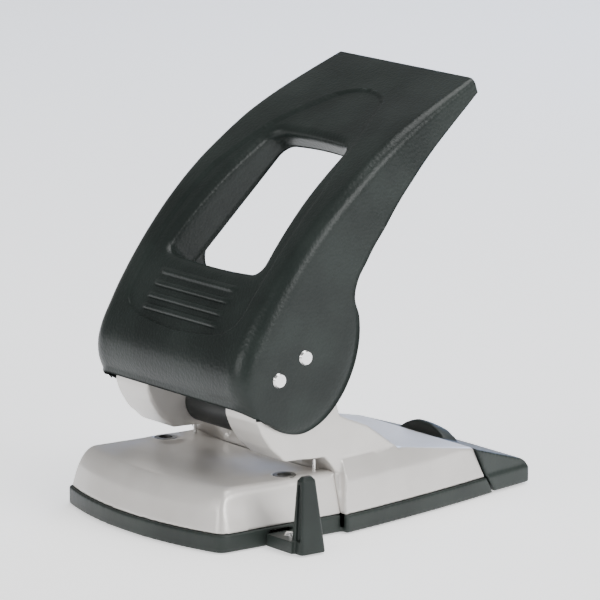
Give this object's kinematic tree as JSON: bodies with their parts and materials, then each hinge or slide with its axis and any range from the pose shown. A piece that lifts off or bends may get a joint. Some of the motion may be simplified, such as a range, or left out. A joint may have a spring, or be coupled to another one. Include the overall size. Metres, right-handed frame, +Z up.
{
  "type": "hole punch",
  "caption": "Heavy-duty desk hole punch with a tall curved hollow lever handle, cast body with punch housings, sliding side paper guide and rear chip drawer",
  "frame": {"origin": "on the desk plane under the middle of the base, on the centre line between the two punches", "axes": "+X is the user's right, +Y runs from the paper slot to the back, +Z is up; the centre plane of the punch is X 0"},
  "size_m": [0.1294, 0.1783, 0.1712],
  "materials": {
    "body_silver": "warm light silver-grey metallic lacquer on a die casting, slight sheen",
    "black_plastic": "dark green-black moulded plastic, matt",
    "mat_rubber": "black non-slip rubber",
    "drawer_plastic": "dark green-black moulded plastic, satin",
    "handle_black": "black paint with a fine leather grain",
    "pin_steel": "bright polished steel",
    "washer_nylon": "natural nylon",
    "screw_steel": "zinc-plated steel",
    "tube_black": "black plastic",
    "rod_steel": "zinc-plated steel",
    "guide_plastic": "dark green-black moulded plastic, satin",
    "bar_steel": "bare steel strip",
    "tool_steel": "ground tool steel",
    "sleeve_steel": "turned steel",
    "die_steel": "ground tool steel",
    "spring_steel": "spring steel",
    "stop_steel": "steel pin"
  },
  "bodies": {
    "base": {"base_shell": "body_silver", "punch_table": "body_silver", "base_tray": "black_plastic", "grip_mat": "mat_rubber", "tray_screws": "screw_steel", "cross_tube": "tube_black", "tie_rod": "rod_steel", "tie_nut": "rod_steel", "die_left": "die_steel", "punch_sleeve_left": "sleeve_steel", "paper_stop_left": "stop_steel", "die_right": "die_steel", "punch_sleeve_right": "sleeve_steel", "paper_stop_right": "stop_steel"},
    "handle_body": {"handle": "handle_black", "pivot_shaft": "pin_steel", "drive_shaft": "pin_steel", "pivot_washers": "washer_nylon"},
    "punch_body_left": {"punch_left": "tool_steel", "spring_seat_left": "screw_steel", "punch_clip_left": "spring_steel", "return_spring_left": "spring_steel"},
    "punch_body_right": {"punch_right": "tool_steel", "spring_seat_right": "screw_steel", "punch_clip_right": "spring_steel", "return_spring_right": "spring_steel"},
    "guide_body": {"paper_guide": "guide_plastic", "guide_bar": "bar_steel", "guide_screw": "screw_steel"},
    "drawer_body": {"chip_drawer": "drawer_plastic"}
  },
  "joints": [
    {"name": "handle_press", "type": "hinge", "parent": "base", "child": "handle_body", "pos_m": [0, -0.0513, 0.0643], "axis": [-1, 0, 0], "range_deg": [0, 45], "stiffness_Nm_per_rad": 0.5, "springref_deg": -45.84},
    {"name": "punch_left_slide", "type": "slide", "parent": "base", "child": "punch_body_left", "axis": [0, 0, -1], "range_m": [0, 0.0112], "deforming": ["return_spring_left"]},
    {"name": "punch_right_slide", "type": "slide", "parent": "base", "child": "punch_body_right", "axis": [0, 0, -1], "range_m": [0, 0.0112], "deforming": ["return_spring_right"]},
    {"name": "guide_slide", "type": "slide", "parent": "base", "child": "guide_body", "axis": [1, 0, 0], "range_m": [0, 0.082]},
    {"name": "drawer_slide", "type": "slide", "parent": "base", "child": "drawer_body", "axis": [0, 1, 0], "range_m": [0, 0.085]}
  ],
  "couplings": [
    {"joint": "punch_left_slide", "follows": "handle_press", "m_per_rad": 0.01399},
    {"joint": "punch_right_slide", "follows": "handle_press", "m_per_rad": 0.01399}
  ]
}
